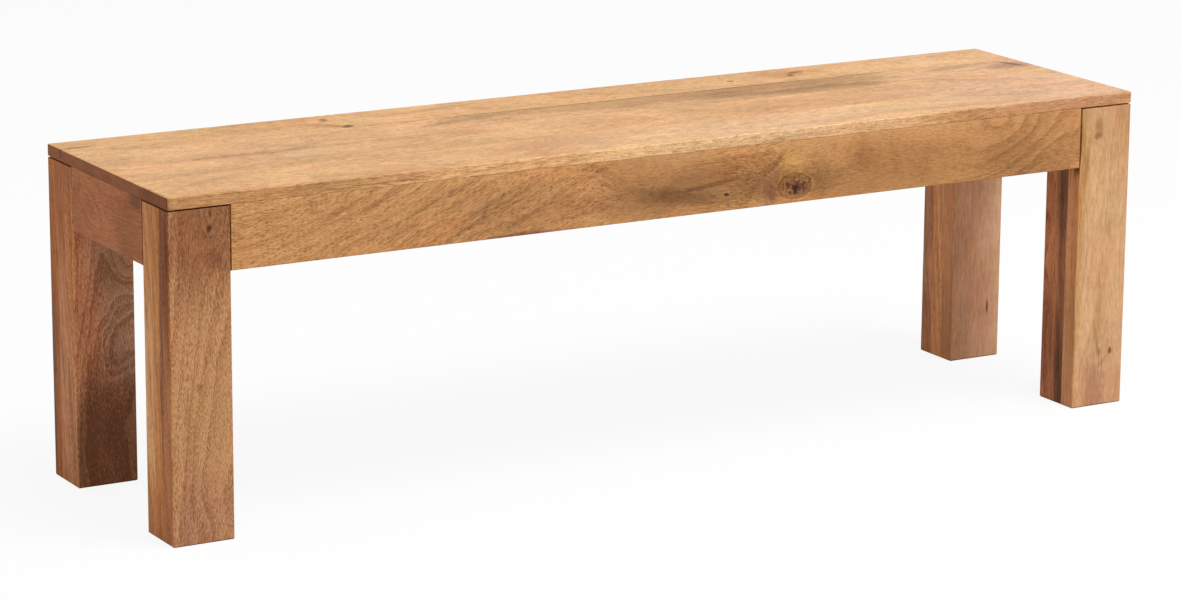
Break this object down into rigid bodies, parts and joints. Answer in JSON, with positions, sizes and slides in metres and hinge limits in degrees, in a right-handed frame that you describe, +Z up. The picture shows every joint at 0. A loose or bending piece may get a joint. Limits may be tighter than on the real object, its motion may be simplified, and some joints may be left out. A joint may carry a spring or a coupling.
{
  "type": "bench",
  "caption": "Long backless hardwood bench: a thin seat flush with apron rails and square block legs bolted at the corners.",
  "frame": {"origin": "on the floor, under the middle of the seat", "axes": "+X along the bench to its right end as seen from the front, -Y towards the front, +Z up"},
  "size_m": [1.475, 0.38, 0.45],
  "materials": {
    "seat_wood": "pale honey hardwood boards under a satin clear coat",
    "rail_wood": "golden brown hardwood with knots under a satin clear coat",
    "leg_wood": "mixed red brown to honey hardwood staves under a satin clear coat",
    "frame_wood": "plain sawn hardwood, sealed",
    "dowel_wood": "pale turned hardwood, unfinished",
    "screw_steel": "zinc plated, dull",
    "bolt_steel": "zinc plated, bright"
  },
  "bodies": {
    "root": {"front_seat_board": "seat_wood", "inner_front_seat_board": "seat_wood", "inner_back_seat_board": "seat_wood", "back_seat_board": "seat_wood", "front_rail": "rail_wood", "back_rail": "rail_wood", "left_end_rail": "rail_wood", "right_end_rail": "rail_wood", "front_left_leg_outer_stave": "leg_wood", "front_left_leg_core_stave": "leg_wood", "front_left_leg_inner_stave": "leg_wood", "front_right_leg_outer_stave": "leg_wood", "front_right_leg_core_stave": "leg_wood", "front_right_leg_inner_stave": "leg_wood", "back_left_leg_outer_stave": "leg_wood", "back_left_leg_core_stave": "leg_wood", "back_left_leg_inner_stave": "leg_wood", "back_right_leg_outer_stave": "leg_wood", "back_right_leg_core_stave": "leg_wood", "back_right_leg_inner_stave": "leg_wood", "front_left_corner_block": "frame_wood", "front_right_corner_block": "frame_wood", "back_left_corner_block": "frame_wood", "back_right_corner_block": "frame_wood", "front_cleat": "frame_wood", "back_cleat": "frame_wood", "left_end_cleat": "frame_wood", "right_end_cleat": "frame_wood", "cross_bearer_1": "frame_wood", "cross_bearer_2": "frame_wood", "bearer_dowels": "dowel_wood", "bearer_screws": "screw_steel", "cleat_screws": "screw_steel", "corner_block_screws": "screw_steel", "leg_hanger_bolts": "bolt_steel", "leg_bolt_washers": "bolt_steel", "leg_bolt_nuts": "bolt_steel"}
  },
  "joints": []
}
